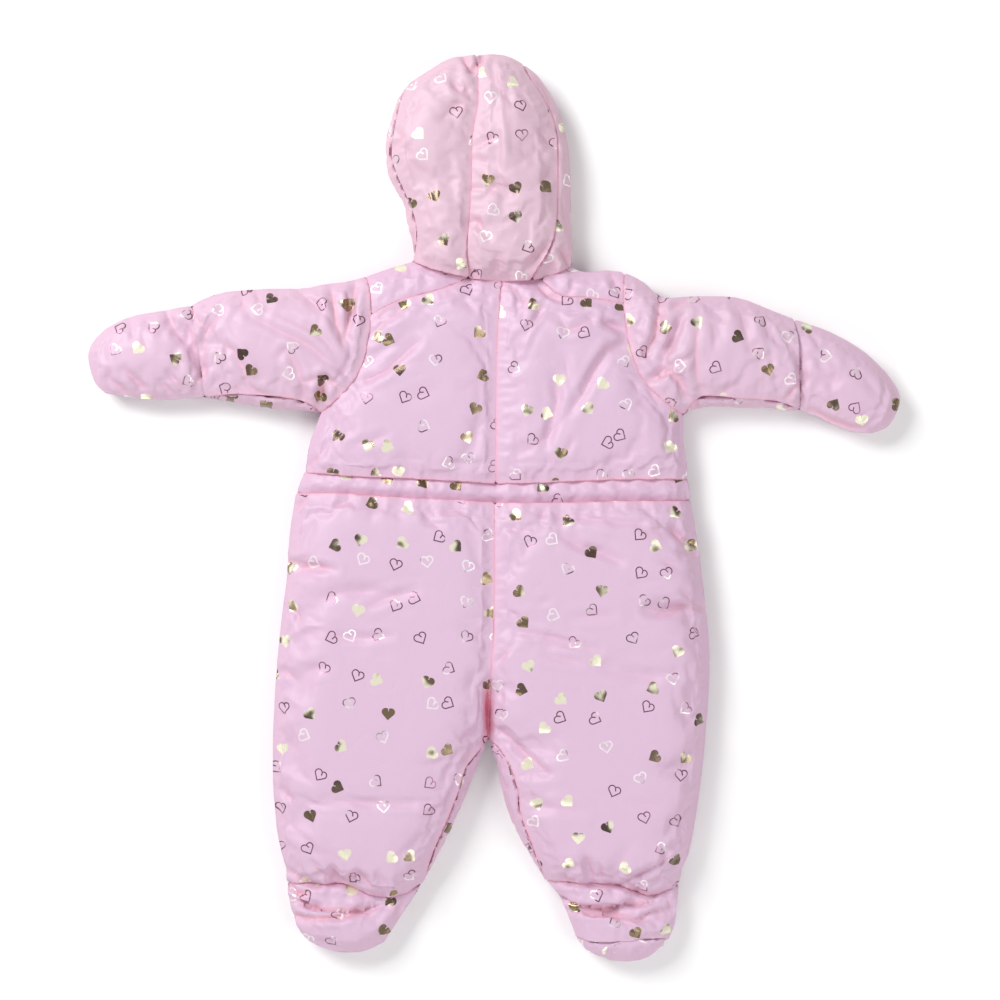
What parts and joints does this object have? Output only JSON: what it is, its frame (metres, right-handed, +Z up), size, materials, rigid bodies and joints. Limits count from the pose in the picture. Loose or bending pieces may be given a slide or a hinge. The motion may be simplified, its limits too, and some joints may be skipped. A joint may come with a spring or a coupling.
{
  "type": "baby snowsuit",
  "caption": "Padded hooded baby snowsuit with mitts, feet and an elastic back waist, laid flat face down; front zip underneath.",
  "frame": {"origin": "middle of the laid garment's box, on the surface that it lies on", "axes": "+X to the wearer's right, +Y from the feet to the hood, +Z up from the surface, out of the back"},
  "size_m": [0.649, 0.7252, 0.0458],
  "materials": {
    "shell_cloth": "satin nylon, padded, printed with small gold foil hearts",
    "zip_tape": "woven tape with a nylon coil",
    "zip_metal": "semi-gloss enamel"
  },
  "bodies": {
    "suit": {"hood_centre": "shell_cloth", "hood_side_left": "shell_cloth", "hood_side_right": "shell_cloth", "hood_front_band": "shell_cloth", "yoke_left": "shell_cloth", "yoke_right": "shell_cloth", "back_left": "shell_cloth", "back_right": "shell_cloth", "waist_casing": "shell_cloth", "leg_back_left": "shell_cloth", "leg_back_right": "shell_cloth", "foot_upper_left": "shell_cloth", "foot_upper_right": "shell_cloth", "sole_left": "shell_cloth", "sole_right": "shell_cloth", "sleeve_back_left": "shell_cloth", "sleeve_back_right": "shell_cloth", "sleeve_front_left": "shell_cloth", "sleeve_front_right": "shell_cloth", "mitt_upper_left": "shell_cloth", "mitt_upper_right": "shell_cloth", "mitt_under_left": "shell_cloth", "mitt_under_right": "shell_cloth", "front_left": "shell_cloth", "front_right": "shell_cloth", "front_zip": "zip_tape", "zip_slider": "zip_metal"},
    "zip_pull_tab": {"zip_pull": "zip_metal"}
  },
  "joints": [
    {"name": "zip_pull_swing", "type": "hinge", "parent": "suit", "child": "zip_pull_tab", "pos_m": [0.00056, 0.1626, 0.004], "axis": [1, 0, 0], "range_deg": [0, 160]}
  ]
}
